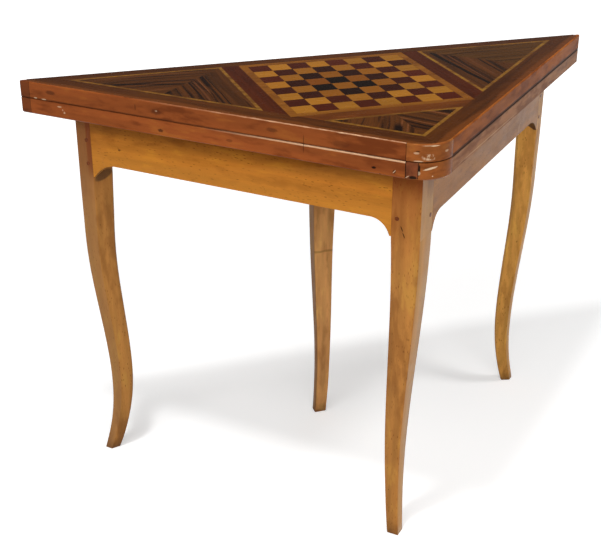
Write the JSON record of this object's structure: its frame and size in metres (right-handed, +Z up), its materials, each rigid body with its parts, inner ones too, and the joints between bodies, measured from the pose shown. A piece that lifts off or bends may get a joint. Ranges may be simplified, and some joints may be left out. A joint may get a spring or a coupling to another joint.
{
  "type": "folding chess table",
  "caption": "Three-cornered folding games table on four curved legs, its hinged top inlaid with a chess board, opening to a square cloth-lined table.",
  "frame": {"origin": "on the floor, under the middle of the closed table's bounding box", "axes": "+X along the hinged long edge, +Y towards the hinges, +Z up; the square corner points along -Y"},
  "size_m": [1.0616, 0.518, 0.74],
  "materials": {
    "fruitwood_edge": "satin",
    "walnut_repair": "satin",
    "honey_apron": "satin",
    "honey_leg": "satin",
    "peg_wood": "satin",
    "plain_wood": "matte",
    "dark_square_wood": "satin",
    "light_square_wood": "satin",
    "light_border_wood": "satin",
    "walnut_band": "satin",
    "red_band": "satin",
    "striped_walnut": "satin",
    "green_baize": "matte",
    "brass": "satin",
    "steel": "satin"
  },
  "bodies": {
    "frame": {"lower_left_lipping": "fruitwood_edge", "lower_right_lipping": "fruitwood_edge", "lower_corner_block": "fruitwood_edge", "lower_corner_patch": "walnut_repair", "left_apron": "honey_apron", "right_apron": "honey_apron", "left_back_rail": "honey_apron", "right_back_rail": "honey_apron", "front_leg": "honey_leg", "left_leg": "honey_leg", "right_leg": "honey_leg", "tenon_pegs": "peg_wood", "lower_core": "plain_wood", "lower_hinge_rail": "plain_wood", "left_guide": "plain_wood", "right_guide": "plain_wood", "left_runner": "plain_wood", "right_runner": "plain_wood", "stop_rail": "plain_wood", "glue_blocks": "plain_wood", "lower_baize": "green_baize", "fixed_hinge_plates": "brass", "hinge_pins": "steel"},
    "upper_leaf": {"upper_left_lipping": "fruitwood_edge", "upper_right_lipping": "fruitwood_edge", "upper_corner_block": "fruitwood_edge", "upper_core": "plain_wood", "upper_hinge_rail": "plain_wood", "dark_squares": "dark_square_wood", "light_squares": "light_square_wood", "board_border": "light_border_wood", "stringing": "light_border_wood", "back_band": "walnut_band", "left_edge_band": "walnut_band", "right_edge_band": "walnut_band", "side_bands": "red_band", "front_band": "red_band", "left_panel_back": "striped_walnut", "left_panel_side": "striped_walnut", "right_panel_back": "striped_walnut", "right_panel_side": "striped_walnut", "front_panel_left": "striped_walnut", "front_panel_right": "striped_walnut", "upper_baize": "green_baize", "moving_hinge_plates": "brass"},
    "leg_carriage": {"back_leg": "honey_leg", "tray_front_left": "honey_apron", "tray_front_right": "honey_apron", "tray_left_side": "plain_wood", "tray_right_side": "plain_wood", "tray_end_board": "plain_wood", "tray_bottom_board": "plain_wood", "stop_lug": "plain_wood"}
  },
  "joints": [
    {"name": "leaf_fold", "type": "hinge", "parent": "frame", "child": "upper_leaf", "pos_m": [0, 0.25557, 0.7125], "axis": [-1, 0, 0], "range_deg": [0, 180]},
    {"name": "leg_slide", "type": "slide", "parent": "frame", "child": "leg_carriage", "axis": [0, 1, 0], "range_m": [0, 0.235]}
  ]
}
